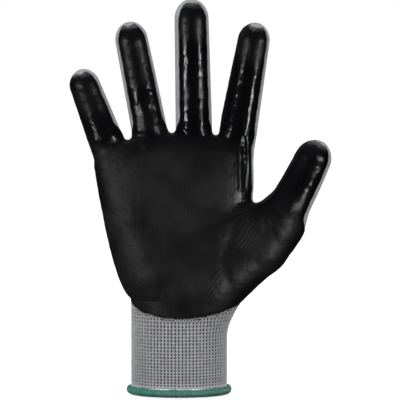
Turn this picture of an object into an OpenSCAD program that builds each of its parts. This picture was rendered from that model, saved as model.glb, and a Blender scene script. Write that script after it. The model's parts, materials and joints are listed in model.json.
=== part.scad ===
// A right-hand work glove: a knitted liner, a dipped palm coating, an elastic cuff and an overlocked hem.
// The glove stands on its cuff opening with the fingers up, the palm towards -Y and the thumb towards +X.
// The origin is the centre of the cuff opening. All sizes are in millimetres.

/* [Palm] */
// Width of the hand across the finger roots
palm_width = 103.6; // [94:0.2:118]
// Thickness of the hand at the finger roots
palm_depth = 22; // [18:0.5:28]
// Height of the web between the ring and middle fingers above the cuff opening
web_height = 165.7; // [140:0.1:190]
// How far the web falls away towards the sides of the hand
web_drop = 8; // [2:0.5:14]
// Sideways shift of the finger roots away from the thumb
palm_shift = 3.8; // [0:0.1:8]

/* [Fingers] */
// Lengths of the little finger's lower, middle and tip parts
little_parts = [16.5, 14, 17.5]; // [13:0.5:30]
// Lengths of the ring finger's lower, middle and tip parts
ring_parts = [24, 22.5, 23.6]; // [16:0.5:36]
// Lengths of the middle finger's lower, middle and tip parts
middle_parts = [28, 27, 28.5]; // [16:0.5:42]
// Lengths of the index finger's lower, middle and tip parts
index_parts = [24, 22, 23.9]; // [16:0.5:36]
// Widths of the little finger at its root and at its tip
little_widths = [20.5, 17.5]; // [15:0.5:24]
// Widths of the ring finger at its root and at its tip
ring_widths = [22, 20]; // [16:0.5:25]
// Widths of the middle finger at its root and at its tip
middle_widths = [23, 21.5]; // [16:0.5:26]
// Widths of the index finger at its root and at its tip
index_widths = [23.5, 20.5]; // [16:0.5:26]
// Sideways lean of the little, ring, middle and index fingers, positive towards the thumb
finger_leans = [-18, -11, -1, 8.6]; // [-22:0.2:12]
// Height of the little, ring, middle and index finger roots above the web
root_rises = [-3.7, 0.8, 1.3, 0.8]; // [-6:0.1:3]
// Relaxed curl of each finger towards the palm, from root to tip
finger_curl = 14; // [4:1:24]
// Thickness of a finger as a share of its width
finger_depth = 0.92; // [0.8:0.01:1]

/* [Thumb] */
// Height of the middle of the thumb's root above the cuff opening
thumb_height = 109.2; // [95:0.2:125]
// Distance of the thumb's root out from the side of the palm
thumb_reach = 15.3; // [12:0.1:24]
// Lengths of the thumb's lower and tip parts
thumb_parts = [23, 33.5]; // [18:0.5:44]
// Widths of the thumb at its root and at its tip
thumb_widths = [33, 23]; // [20:0.5:36]
// Sideways lean of the thumb at its root
thumb_lean = 27; // [18:1:34]
// Relaxed curl of the thumb, half forwards and half inwards
thumb_curl = 12; // [4:1:20]
// Radius of the ball of the thumb near the wrist
thenar_radius = 17; // [14:0.5:20]

/* [Cuff] */
// Width of the cuff
cuff_width = 60.4; // [54:0.2:72]
// Front-to-back thickness of the cuff
cuff_depth = 46; // [38:0.5:54]
// Height at which the ribbed cuff meets the palm
cuff_height = 48; // [36:1:56]
// Number of ribs round the cuff
rib_count = 36; // [24:1:44]
// Depth of the grooves between the ribs
rib_depth = 0.4; // [0.1:0.05:0.6]
// Number of elastic yarns inside the cuff
elastic_count = 5; // [3:1:9]
// Height of the overlocked hem
hem_height = 7; // [5:0.5:10]
// How far the hem stands out from the cuff
hem_bulge = 2.7; // [1.5:0.1:4]

/* [Fabric] */
// Thickness of the knitted liner
liner_wall = 1.2; // [0.8:0.1:1.6]
// Thickness of the dipped coating
coat_wall = 0.6; // [0.4:0.1:1]
// How far the coating's edge stays above the cuff at the middle of the wrist
dip_rise = 1.5; // [0.5:0.5:12]
// How much higher than that the coating's edge stands at the sides of the wrist
dip_sides = 6.7; // [2:0.1:12]
// Open gap of each fold line, where two parts of a digit meet
fold_gap = 0.3; // [0.2:0.05:0.6]

/* [Hidden] */
node = "all";
LIMBS = ["little", "ring", "middle", "index"];
PARTS = ["lower", "middle", "tip"];
NODES = concat(
    ["liner_palm", "liner_cuff", "cuff_elastic", "hem_overlock", "coating_palm"],
    [for (limb = LIMBS, part = PARTS) str("liner_", limb, "_", part)],
    [for (limb = LIMBS, part = PARTS) str("coating_", limb, "_", part)],
    ["liner_thumb_lower", "liner_thumb_tip", "coating_thumb_lower", "coating_thumb_tip"]
);

LINER_COLOUR = "#a3a4a6";
CUFF_COLOUR = "#adaeb0";
COATING_COLOUR = "#1a1b1d";
HEM_COLOUR = "#2f8f78";
ELASTIC_COLOUR = "#d9d9d6";

SEAT = 0.05;             // gap between layers that lie on each other
COAT_WRAP = 60;          // the coating wraps this far round a digit, each way from the palm side's middle
DIP_SIDE = -2;           // the palm coating stops just in front of the middle of the hand
BAND_SEAT = 0.2;         // gap between the cuff and the coarser rings that grip it
THUMB_FRONT = 4;         // the thumb and its ball sit this far in front of the middle of the hand
KNUCKLE_SQUARENESS = 2.6;    // exponent of the hand's section at the finger roots, where 2 is an ellipse
DOME_SHARE = 0.55;       // length of a digit's rounded end, as a share of its tip's width
ELASTIC_MARGIN = 3.5;    // the outer yarns lie this far from the hem and from the top of the cuff
WEB_CROWN = 0.19;        // the web is highest this far towards the thumb, as a share of the half width
FINGER_SIDES = 24;       // sides of a digit's section
FULL_TURN = 360 - 360 / FINGER_SIDES;
PALM_SIDES = 32;         // sides of the palm's section
HEM_SIDES = 30;          // steps round the hem and the elastic yarns
FORWARD = [0, -1, 0];    // the way the palm faces

finger_spill = 1;                            // how far the outer fingers stand beyond the palm's sides
hem_seat = 1.2;                              // height of the cuff's edge inside the hem
hem_lip = 1;                                 // thickness of the hem inside the cuff
yarn_size = 0.6;                             // thickness of an elastic yarn
stub_length = palm_depth;                    // how far a finger's tube runs down into the palm
flare_height = cuff_height + 14;             // the palm starts to widen here
dip_height = cuff_height + dip_rise;
finger_roots = [for (r = root_rises) web_height + r];
finger_parts = [little_parts, ring_parts, middle_parts, index_parts];
finger_widths = [little_widths, ring_widths, middle_widths, index_widths];
palm_edges = [-palm_shift - palm_width / 2, -palm_shift + palm_width / 2];
first_finger = palm_edges[0] + little_widths[0] / 2 - finger_spill;
last_finger = palm_edges[1] - index_widths[0] / 2 + finger_spill;

function mix(a, b, t) = a + (b - a) * t;
function unit(v) = v / norm(v);
function total(parts, i = 0) = i == len(parts) ? 0 : parts[i] + total(parts, i + 1);
function flat(lists) = [for (list = lists, item = list) item];
function fold_at(parts, i) = i == 0 ? 0 : fold_at(parts, i - 1) + parts[i - 1];

// ---- Digits: tubes along a circular arc that leans sideways and curls towards the palm ----
// A digit is [root, normal of the root's plane, lean, curl, bend direction, parts, widths].
function finger(i) = [
    [mix(first_finger, last_finger, i / 3), 0, finger_roots[i]], [0, 0, 1],
    finger_leans[i], finger_curl, FORWARD, finger_parts[i], finger_widths[i]
];
thumb_plane = unit([1, 0, 1]);
thumb_root = [palm_edges[1] + thumb_reach, -THUMB_FRONT, thumb_height];
thumb_inward = [-cos(thumb_lean), 0, sin(thumb_lean)];
thumb = [
    thumb_root, thumb_plane, thumb_lean, thumb_curl, unit(FORWARD + thumb_inward), thumb_parts, thumb_widths
];

function reach(d) = total(d[5]);
function way(d) = [sin(d[2]), 0, cos(d[2])];
function turned(d, s) = d[3] * max(s, 0) / reach(d);
function bend_radius(d) = reach(d) * 180 / (PI * d[3]);
function along(d, s) = way(d) * cos(turned(d, s)) + d[4] * sin(turned(d, s));
function centre(d, s) = d[0] + (s < 0 ? way(d) * s
    : (way(d) * sin(turned(d, s)) + d[4] * (1 - cos(turned(d, s)))) * bend_radius(d));
function palmward(d, s) = let (t = along(d, s)) unit(FORWARD - (FORWARD * t) * t);
function sideways(d, s) = cross(along(d, s), palmward(d, s));
function half_width(d, s) = mix(d[6][0], d[6][1], max(s, 0) / reach(d)) / 2;
function dome(d) = d[6][1] * DOME_SHARE;

// One ring of a digit's skin, on a plane with the given normal, between two angles round the tube.
function ring(d, s, a, b, normal, from = 0, to = FULL_TURN) = let (
    t = along(d, s), u = sideways(d, s), v = palmward(d, s),
    u_cut = u - t * (u * normal) / (t * normal),
    v_cut = v - t * (v * normal) / (t * normal)
) [for (q = [from : 360 / FINGER_SIDES : to]) centre(d, s) + u_cut * a * cos(q) + v_cut * b * sin(q)];

function tube_ring(d, s, grow, normal, from = 0, to = FULL_TURN) = let (w = half_width(d, s))
    ring(d, s, w + grow, w * finger_depth + grow, normal, from, to);

// The rings of part i of a digit, grown outwards by a distance. The root's ring lies in the root's plane.
function part_rings(d, i, grow, from = 0, to = FULL_TURN, last = 90) = let (
    tip = i == len(d[5]) - 1,
    start = fold_at(d[5], i) + (i == 0 ? fold_gap / 2 / (way(d) * d[1]) : fold_gap / 2),
    end = tip ? reach(d) - dome(d) : fold_at(d[5], i + 1) - fold_gap / 2,
    w = half_width(d, reach(d) - dome(d))
) concat(
    [for (k = [0 : 2]) let (s = mix(start, end, k / 2))
        tube_ring(d, s, grow, i == 0 && k == 0 ? d[1] : along(d, s), from, to)],
    tip ? [for (q = [30, 55, 75]) if (q <= last)
        let (s = reach(d) - dome(d) + (dome(d) + grow) * sin(q))
        ring(d, s, (w + grow) * cos(q), (w * finger_depth + grow) * cos(q), along(d, s), from, to)] : []
);
function apex(d, grow) = centre(d, reach(d) + grow);

// ---- Skins: faces over grids of points ----
function quad(a, b, c, e) = [[a, c, b], [a, e, c]];
function grid(rows, cols, first, around) = flat([
    for (i = [0 : rows - 2], j = [0 : cols - (around ? 1 : 2)]) let (k = (j + 1) % cols)
        let (low = first + i * cols, high = low + cols) quad(low + j, high + j, high + k, low + k)
]);
function flipped(faces) = [for (f = faces) [f[0], f[2], f[1]]];
function rim(cols, a, b, around) = flat([
    for (j = [0 : cols - (around ? 1 : 2)]) let (k = (j + 1) % cols) quad(a + j, a + k, b + k, b + j)
]);
function fan(cols, first, pole) = [for (j = [0 : cols - 1]) [first + j, first + (j + 1) % cols, pole]];

// Closes a ring straight across, between points that mirror each other.
function cap(cols, first) = concat(
    [for (j = [0 : cols / 2 - 2]) [first + j, first + j + 1, first + cols - 1 - j]],
    [for (j = [1 : cols / 2 - 1]) [first + j, first + cols - 1 - j, first + cols - j]]
);

// A solid through a stack of convex rings, closed at both ends.
module loft(rings) {
    cols = len(rings[0]);
    rows = len(rings);
    polyhedron(
        flat(rings),
        concat(grid(rows, cols, 0, true), flipped(cap(cols, 0)), cap(cols, (rows - 1) * cols))
    );
}

// A wall between an outer and an inner stack of rings. Its far end is open, or closed over two poles.
module wall(outer, inner, poles = []) {
    cols = len(outer[0]);
    rows = len(outer);
    n = rows * cols;
    polyhedron(
        concat(flat(outer), flat(inner), poles),
        concat(
            grid(rows, cols, 0, true),
            flipped(grid(rows, cols, n, true)),
            rim(cols, 0, n, true),
            poles == [] ? flipped(rim(cols, n - cols, 2 * n - cols, true))
                : concat(fan(cols, n - cols, 2 * n), flipped(fan(cols, 2 * n - cols, 2 * n + 1)))
        )
    );
}

// A film that covers only part of the way round, closed along all four of its edges.
module film(outer, inner) {
    cols = len(outer[0]);
    rows = len(outer);
    n = rows * cols;
    near = [for (i = [0 : rows - 2]) let (e = i * cols)
        each quad(e, n + e, n + e + cols, e + cols)];
    far = [for (i = [0 : rows - 2]) let (e = i * cols + cols - 1)
        each quad(e, e + cols, n + e + cols, n + e)];
    polyhedron(
        concat(flat(outer), flat(inner)),
        concat(
            grid(rows, cols, 0, false),
            flipped(grid(rows, cols, n, false)),
            rim(cols, 0, n, false),
            flipped(rim(cols, n - cols, 2 * n - cols, false)),
            near,
            far
        )
    );
}

module liner_part(d, i) {
    tip = i == len(d[5]) - 1;
    color(LINER_COLOUR) wall(
        part_rings(d, i, 0),
        part_rings(d, i, -liner_wall),
        tip ? [apex(d, 0), apex(d, -liner_wall)] : []
    );
}

module coating_part(d, i) {
    color(COATING_COLOUR) film(
        part_rings(d, i, SEAT + coat_wall, 90 - COAT_WRAP, 90 + COAT_WRAP, 70),
        part_rings(d, i, SEAT, 90 - COAT_WRAP, 90 + COAT_WRAP, 70)
    );
}

// ---- Palm: one flaring form with stubs for the fingers and the ball of the thumb ----
function power(v, e) = sign(v) * pow(abs(v), e);

// How far up the flare a height is, from 0 at the wrist to 1 at the web.
function flare(z) = max(0, (z - flare_height) / (web_height - flare_height));

// A section of the palm. Lift runs from 0 below the web's rounding to 90 degrees on its ridge.
function palm_ring(z, lift, grow) = let (
    t = min(flare(z), 1),
    a = mix(cuff_width, palm_width, sqrt(t)) / 2 + grow,
    b = mix(palm_depth, cuff_depth, 1 - pow(t, 1.3)) / 2 + grow,
    e = 2 / mix(2, KNUCKLE_SQUARENESS, t)
) [
    for (j = [0 : PALM_SIDES - 1]) let (
        q = 360 * j / PALM_SIDES,
        x = a * power(cos(q), e),
        side = flare(z) * pow(x / a - WEB_CROWN, 2)
    ) [
        x - palm_shift * sqrt(t),
        -b * power(sin(q), e) * cos(lift),
        z + (palm_depth / 2 + grow) * sin(lift) - web_drop * side
    ]
];

module palm_body(grow, over) {
    shoulder = web_height - palm_depth / 2;
    heights = [for (k = [0 : 4]) mix(flare_height, shoulder, pow(k / 4, 1.6))];
    loft(concat(
        [palm_ring(cuff_height - over, 0, grow)],
        [for (z = heights) palm_ring(z, 0, grow)],
        [for (lift = [30, 55, 72]) palm_ring(shoulder, lift, grow)]
    ));
}

// A finger's stub: the last stretch of the palm's tube, up to the finger's root plane.
module stub(d, grow, over) {
    end = (over - fold_gap / 2) / (way(d) * d[1]);
    hull() loft([tube_ring(d, -stub_length - grow, grow, way(d)), tube_ring(d, end, grow, d[1])]);
}

// The ball of the thumb runs from beside the wrist up to the plane of the thumb's root, or just past it.
module thenar(grow, over) {
    end = (over - fold_gap / 2) / (way(thumb) * thumb_plane);
    hull() {
        translate([cuff_width / 2 - 8, -THUMB_FRONT, flare_height + 5])
            scale([1, 1.1, 1]) sphere(thenar_radius + grow, $fn = 16);
        translate([cuff_width / 2 - 5, -THUMB_FRONT, thumb_height - 5])
            sphere(thenar_radius - 2 + grow, $fn = 14);
        loft([
            tube_ring(thumb, -3, grow - 1, thumb_plane),
            tube_ring(thumb, end, grow + over / 2, thumb_plane)
        ]);
    }
}

module palm_form(grow, over) {
    palm_body(grow, over);
    for (i = [0 : 3]) stub(finger(i), grow, over);
    thenar(grow, over);
}

module liner_palm() {
    color(LINER_COLOUR) difference() {
        palm_form(0, 0);
        palm_form(-liner_wall, 1);
    }
}

// The front of the hand above the dip line, which rises from the middle of the wrist to both sides.
module dip_zone() {
    top = web_height + 20;
    side = palm_width;
    rotate([90, 0, 0]) linear_extrude(cuff_depth + palm_depth) polygon(concat(
        [for (x = [-side : 6 : side]) let (rise = dip_sides * pow(2 * x / cuff_width, 2))
            [x, min(dip_height + rise, top - 1)]],
        [[side, top], [-side, top]]
    ));
}

module coating_palm() {
    color(COATING_COLOUR) intersection() {
        difference() {
            palm_form(SEAT + coat_wall, 0);
            palm_form(SEAT, 1);
        }
        translate([0, DIP_SIDE, 0]) dip_zone();
    }
}

// ---- Cuff, its elastic yarns and its hem ----
function cuff_ring(z, grow, sides, ribs) = [
    for (j = [0 : sides - 1]) let (q = 360 * j / sides, r = grow - ribs * (1 - cos(rib_count * q)) / 2)
        [(cuff_width / 2 + r) * cos(q), -(cuff_depth / 2 + r) * sin(q), z]
];

// A closed band swept round the cuff. The profile's points are [distance out from the cuff's skin, height].
module band(profile) {
    cols = len(profile);
    points = [for (j = [0 : HEM_SIDES - 1]) let (q = 360 * j / HEM_SIDES) [
        for (p = profile) [(cuff_width / 2 + p[0]) * cos(q), (cuff_depth / 2 + p[0]) * sin(q), p[1]]
    ]];
    closed = concat(points, [points[0]]);
    polyhedron(
        flat(points),
        [for (f = grid(HEM_SIDES + 1, cols, 0, true)) [for (v = f) v % (HEM_SIDES * cols)]]
    );
}

module liner_cuff() {
    sides = 4 * rib_count;
    color(CUFF_COLOUR) wall(
        [for (z = [hem_seat, cuff_height]) cuff_ring(z, 0, sides, rib_depth)],
        [for (z = [hem_seat, cuff_height]) cuff_ring(z, -liner_wall, sides, 0)]
    );
}

// Elastic yarns are laid in round the inside of the cuff at even heights.
module cuff_elastic() {
    skin = -liner_wall - SEAT;
    low = hem_height + ELASTIC_MARGIN;
    step = (cuff_height - ELASTIC_MARGIN - yarn_size - low) / (elastic_count - 1);
    color(ELASTIC_COLOUR) for (k = [0 : elastic_count - 1]) let (z = low + k * step)
        band([[skin - yarn_size, z], [skin, z], [skin, z + yarn_size], [skin - yarn_size, z + yarn_size]]);
}

// The overlock stitches form a soft bead that grips the cuff's edge from outside and inside.
module hem_overlock() {
    inner = -liner_wall - SEAT;
    base = hem_seat - SEAT;
    color(HEM_COLOUR) band([
        [inner - hem_lip, 0.6],
        [inner - hem_lip * 0.4, 0],
        [hem_bulge * 0.55, 0],
        [hem_bulge, hem_height * 0.24],
        [hem_bulge, hem_height * 0.7],
        [hem_bulge * 0.6, hem_height],
        [BAND_SEAT, hem_height],
        [BAND_SEAT, base],
        [inner, base],
        [inner, hem_height * 0.8],
        [inner - hem_lip, hem_height * 0.8]
    ]);
}

function wanted(name) = node == "all" || node == name;
if (wanted("liner_palm")) liner_palm();
if (wanted("liner_cuff")) liner_cuff();
if (wanted("cuff_elastic")) cuff_elastic();
if (wanted("hem_overlock")) hem_overlock();
if (wanted("coating_palm")) coating_palm();
for (i = [0 : 3], k = [0 : 2]) {
    if (wanted(str("liner_", LIMBS[i], "_", PARTS[k]))) liner_part(finger(i), k);
    if (wanted(str("coating_", LIMBS[i], "_", PARTS[k]))) coating_part(finger(i), k);
}
if (wanted("liner_thumb_lower")) liner_part(thumb, 0);
if (wanted("liner_thumb_tip")) liner_part(thumb, 1);
if (wanted("coating_thumb_lower")) coating_part(thumb, 0);
if (wanted("coating_thumb_tip")) coating_part(thumb, 1);
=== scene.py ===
# A right-hand work glove: a seamless grey knit, dipped in black nitrile on the palm side, with a
# knitted elastic cuff and a green overlocked hem. It stands on its cuff opening, the palm towards -Y.
# Shapes are worked out in millimetres and turned to metres once, where each mesh is made.
import json
import math

import bpy
import numpy as np
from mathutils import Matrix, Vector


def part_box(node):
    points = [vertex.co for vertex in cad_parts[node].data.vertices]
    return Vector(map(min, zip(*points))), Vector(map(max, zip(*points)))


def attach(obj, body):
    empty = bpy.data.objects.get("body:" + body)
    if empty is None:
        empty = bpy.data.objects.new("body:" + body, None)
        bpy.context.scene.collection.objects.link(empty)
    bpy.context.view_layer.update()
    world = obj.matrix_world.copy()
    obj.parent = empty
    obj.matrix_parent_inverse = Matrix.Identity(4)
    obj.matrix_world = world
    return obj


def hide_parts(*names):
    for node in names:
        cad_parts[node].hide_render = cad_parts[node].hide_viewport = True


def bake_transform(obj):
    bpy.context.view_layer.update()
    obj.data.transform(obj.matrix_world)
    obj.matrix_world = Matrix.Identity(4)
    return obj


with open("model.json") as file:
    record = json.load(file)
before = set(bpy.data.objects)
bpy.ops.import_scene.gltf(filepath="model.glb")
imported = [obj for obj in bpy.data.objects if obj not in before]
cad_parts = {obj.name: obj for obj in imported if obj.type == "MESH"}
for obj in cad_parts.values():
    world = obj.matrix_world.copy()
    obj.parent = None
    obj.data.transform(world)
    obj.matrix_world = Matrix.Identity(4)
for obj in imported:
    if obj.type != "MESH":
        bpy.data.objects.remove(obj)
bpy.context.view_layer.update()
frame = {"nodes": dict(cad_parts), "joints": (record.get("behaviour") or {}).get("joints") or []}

# ---- The hand form -------------------------------------------------------------------------------
# The glove is shown as worn on a hand form. The knit and its coating are one skin over this form, so it
# is described once, as a distance in millimetres from the outside of the knit: five tapering digits,
# the palm and the ball of the thumb, melted together the way stretched fabric spans a crotch.
MM = 0.001
FORWARD = np.array([0.0, -1.0, 0.0])        # the way the palm faces
FINGERS = ["little", "ring", "middle", "index"]
FOLDS = {"lower": "knuckle", "middle": "middle_bend", "tip": "tip_bend"}
THUMB_FOLDS = {"lower": "base_bend", "tip": "tip_bend"}
hinges = {j["name"]: (np.array(j["pos_m"]) / MM, np.array(j["axis"])) for j in frame["joints"]}


def unit(v):
    return v / np.linalg.norm(v)


def smooth(low, high, x):
    """0 below low, 1 above high, and an S-curve between."""
    t = np.clip((x - low) / (high - low), 0, 1)
    return t * t * (3 - 2 * t)


def melt(a, b, width):
    """The smaller of two distances, with the corner between them rounded over a width."""
    h = np.maximum(width - np.abs(a - b), 0)
    return np.minimum(a, b) - h * h / (4 * width)


def node_points(name):
    points = np.array([v.co for v in frame["nodes"][name].data.vertices]) / MM
    return np.unique(points.round(4), axis=0)


class Digit:
    """A finger or the thumb: a tapering tube round an arc, from the middle of its root to its end."""

    DOME = 0.58         # length of the rounded end, as a share of the tip's width
    STUB = 8.0          # the tube runs this far down into the palm before it fades out
    FADE = 14.0         # length over which it fades out
    SUNK = 0.28         # share of its palm side that sinks away where it meets the palm

    def __init__(self, name, folds, lean, curl, end_half, shorter, left_edge, right_edge, tip_bare):
        self.name, self.folds = name, folds
        self.left_edge, self.right_edge, self.tip_bare = left_edge, right_edge, tip_bare
        root, root_width, root_depth = self.root_ring()
        lean, curl = math.radians(lean), math.radians(curl)
        self.heading = np.array([math.sin(lean), 0, math.cos(lean)])
        inward = np.array([-math.cos(lean), 0, math.sin(lean)]) * (name == "thumb")
        self.start = -unit(FORWARD + inward)
        self.normal = np.cross(self.start, self.heading)
        reach = ((node_points(f"liner_{name}_tip") - root) @ self.heading).max() - shorter
        self.length = reach * curl / math.sin(curl)
        self.radius = self.length / curl
        self.centre = root - self.start * self.radius
        self.half_widths = [root_width, end_half]
        self.flatness = root_depth / root_width
        tangent = self.heading * math.cos(curl / 2) - self.start * math.sin(curl / 2)
        outward = self.start * math.cos(curl / 2) + self.heading * math.sin(curl / 2)
        palmward = unit(FORWARD - (FORWARD @ tangent) * tangent)
        across = np.cross(tangent, palmward)
        self.turn = np.array([[across @ outward, across @ self.normal],
                              [palmward @ outward, palmward @ self.normal]])

    def root_ring(self):
        """Middle, half width and half depth of the CAD tube where its first fold's plane crosses it."""
        place, axis = hinges[f"{self.name}_{self.folds['lower']}"]
        points = node_points(f"liner_{self.name}_lower")
        ring = points[np.abs((points - place) @ np.cross(FORWARD, axis)) < 1.5]
        middle = (ring.min(0) + ring.max(0)) / 2
        return middle, np.abs((ring - middle) @ axis).max(), np.abs((ring - middle)[:, 1]).max()

    def arc(self, p):
        """Distance along the arc, out from it in its plane, and out of its plane."""
        q = p - self.centre
        x, y = q @ self.start, q @ self.heading
        return self.radius * np.arctan2(y, x), np.hypot(x, y) - self.radius, q @ self.normal

    def local(self, p):
        """Distance along the digit, across it towards the thumb's side, and towards the palm."""
        s, out, off = self.arc(p)
        across = out * self.turn[0, 0] + off * self.turn[0, 1]
        palmward = out * self.turn[1, 0] + off * self.turn[1, 1]
        return s, across, palmward

    def half_width(self, s):
        return np.interp(s, [0, self.length], self.half_widths)

    def distance(self, p):
        s, u, v = self.local(p)
        a = self.half_width(s)
        b = a * self.flatness * (1 - self.SUNK * smooth(2, -12, s))
        dome = self.DOME * 2 * self.half_widths[-1]
        end = np.maximum(s - self.length + dome, 0) / dome
        foot = np.maximum(-s - self.STUB, 0) / self.FADE
        reach = np.sqrt((u / a) ** 2 + (v / b) ** 2 + end ** 2 + foot ** 2)
        slope = np.sqrt((u / a**2) ** 2 + (v / b**2) ** 2 + (end / dome) ** 2 + (foot / self.FADE) ** 2)
        return reach * (reach - 1) / (slope + 1e-9)


# Each digit's lean to the thumb's side and curl towards the palm, in degrees; half its width where its
# end rounds off; how much shorter it is than its solid; how far round its coating reaches from the middle
# of its palm side, in degrees, on the little finger's side and on the thumb's; and its bare end's length.
DIGIT_SHAPES = {
    "little": (-20.5, 14, 8.9, 1.8, 100, 60, 1.2),
    "ring": (-11.0, 14, 10.0, 0.0, 58, 63, 1.0),
    "middle": (-1.2, 14, 10.5, 0.8, 53, 61, 1.4),
    "index": (9.7, 14, 9.4, 0.6, 95, 59, 1.2),
    "thumb": (31.0, 12, 10.7, -1.2, 100, 58, 1.2),
}
THUMB_WAIST = 3.8                           # the thumb is drawn in this much where it leaves its ball
digits = [Digit(name, FOLDS, *DIGIT_SHAPES[name]) for name in FINGERS]
thumb = Digit("thumb", THUMB_FOLDS, *DIGIT_SHAPES["thumb"])
thumb.half_widths[0] -= THUMB_WAIST
digits.append(thumb)

cuff_low, cuff_high = (np.array(corner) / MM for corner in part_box("liner_cuff"))
CUFF_TOP = cuff_high[2]
CUFF_HALF = np.array([cuff_high[0] - cuff_low[0], cuff_high[1] - cuff_low[1]]) / 2
FLARE = CUFF_TOP + 13                       # the hand starts to widen here
KNUCKLES = 11.0                             # half thickness of the hand at the finger roots
web_top = hinges["ring_knuckle"][0][2] - 1.2
palm_left = hinges["little_knuckle"][0][0] - digits[0].half_widths[0] + 1
palm_right = hinges["index_knuckle"][0][0] + digits[3].half_widths[0] - 1
PALM_HALF = (palm_right - palm_left) / 2
PALM_SHIFT = (palm_right + palm_left) / 2
WEB_FALL, WEB_PEAK = 8, 0.19                # the web's fall to the sides, and where across it is highest
INDEX_BULGE = 1.3                           # the palm is this much fuller on the index finger's side


def palm_section(z):
    """Half width, half depth, sideways shift and squareness of the palm at a height."""
    t = np.clip((z - FLARE) / (web_top - FLARE), 0, 1)
    flare = (np.sqrt(t + 0.012) - 0.11) / 0.896         # from 0 to 1, and quickest just above the cuff
    full = INDEX_BULGE * smooth(60, 85, z) * smooth(156, 126, z)
    return (CUFF_HALF[0] + (PALM_HALF - CUFF_HALF[0]) * flare + full,
            KNUCKLES + (CUFF_HALF[1] - KNUCKLES) * (1 - t**1.3),
            PALM_SHIFT * flare + full, 2 + 0.6 * t)


def palm(p):
    """Distance from the palm, without its thumb and fingers."""
    x, y, z = p[:, 0], p[:, 1], p[:, 2]
    a, b, shift, power = palm_section(z)
    across = np.abs((x - shift) / a)
    web = web_top - WEB_FALL * (across - WEB_PEAK * np.sign(x - shift)) ** 2
    top = np.maximum(z - web + KNUCKLES, 0)
    deep = np.hypot(y, top) / b
    reach = (across**power + deep**power) ** (1 / power) + 1e-9
    slope = np.hypot((across / reach) ** (power - 1) / a, (deep / reach) ** (power - 1) / b)
    return (reach - 1) / slope


def tapered(p, a, b, radius_a, radius_b):
    """Distance from a rounded cone between two balls."""
    ab = b - a
    t = np.clip((p - a) @ ab / (ab @ ab), 0, 1)
    return np.linalg.norm(p - a - t[:, None] * ab, axis=1) - (radius_a + (radius_b - radius_a) * t)


# The ball of the thumb, as middles and radii of balls: beside the wrist, where it is fullest, at the
# thumb's root, and where the thumb's web meets the palm.
thumb_root = thumb.centre + thumb.radius * thumb.start
BALL_LOW, LOW_RADIUS = np.array([CUFF_HALF[0] - 8.4, -4, FLARE + 6.6]), 17.0
BALL_MIDDLE, MIDDLE_RADIUS = thumb_root - [11, 0, 17], 15.2
BALL_TOP, TOP_RADIUS = thumb_root - [1.8, 0, 1.7], 14.5
BALL_INNER, INNER_RADIUS = np.array([CUFF_HALF[0] - 4, -3, thumb_root[2] - 5]), 13.5


def thenar(p):
    """Distance from the thumb and the ball that carries it."""
    heel = tapered(p, BALL_LOW, BALL_MIDDLE, LOW_RADIUS, MIDDLE_RADIUS)
    mount = tapered(p, BALL_MIDDLE, BALL_TOP, MIDDLE_RADIUS, TOP_RADIUS)
    web = tapered(p, BALL_INNER, BALL_TOP, INNER_RADIUS, TOP_RADIUS)
    ball = melt(melt(heel, mount, 3.0), web, 6.0)
    return melt(ball, thumb.distance(p), 8.0)


# Ridges and creases on the palm side: from and to (across, up), half width, and depth, or below 0 height.
INDEX_CREASES = [
    ((37.8, 158), (38.6, 129), 1.5, -0.45), ((40.8, 164), (41.4, 131), 1.3, 0.4),
    ((43.6, 160), (44.4, 139), 1.4, -0.35), ((43.0, 126), (44.7, 104), 1.8, -0.35)]
THUMB_CREASES = [
    ((48.5, 121), (52.0, 102), 1.7, 0.25), ((51.0, 121), (60.0, 101), 1.6, 0.25),
    ((53.5, 119), (67.0, 104), 1.6, 0.2)]
CROTCH_CREASES = [
    ((-8.4, 167), (-7.4, 159), 1.1, -0.5), ((-3.2, 166), (-3.4, 157), 1.1, -0.5),
    ((2.0, 167), (0.8, 159), 1.1, -0.4), ((-43, 149), (-30, 154), 2.2, 0.35),
    ((-30, 154), (-9, 157), 2.4, 0.35), ((-24, 163), (-20, 155), 2.0, -0.5),
    ((14, 158), (30, 156), 2.4, 0.3), ((21, 164), (24, 158), 1.4, -0.4)]
PALM_CREASES = [
    ((-50, 116), (-12, 110), 5.0, 0.8), ((-12, 110), (24, 121), 4.5, 0.7),
    ((-32, 70), (14, 85), 6.0, -0.7), ((14, 85), (40, 97), 5.0, -0.6),
    ((34, 62), (27, 86), 3.5, 0.6), ((27, 86), (37, 112), 3.5, 0.6)]
CREASES = INDEX_CREASES + THUMB_CREASES + CROTCH_CREASES + PALM_CREASES


def creases(p):
    """How far the ridges and creases move the palm side inwards."""
    depth = np.zeros(len(p))
    for start, end, width, deep in CREASES:
        start, along = np.array(start), np.subtract(end, start)
        length = np.linalg.norm(along)
        t = (p[:, ::2] - start) @ along / length
        off = (p[:, ::2] - start) @ np.array([-along[1], along[0]]) / length
        past = np.maximum(np.abs(t - length / 2) - length / 2 + width, 0) / width
        depth += deep * np.exp(-(off / width) ** 2 - past ** 2)
    return depth


def mound(x, z, middle, reach):
    """A soft hump round a place on the palm side, 1 high."""
    return np.exp(-((x - middle[0]) / reach[0]) ** 2 - ((z - middle[1]) / reach[1]) ** 2)


BALL_MELT, HEEL_MELT = 5, 12                # the thumb's ball melts into the palm, and more at the heel
CROTCH_MELT, CROTCH_NARROWS = 5, 2          # the fingers melt together, and less at mid thickness
PALM_HOLLOW, HEEL_RISE = 2.6, 1.2           # depth of the palm's hollow, and height of its heel


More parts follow.
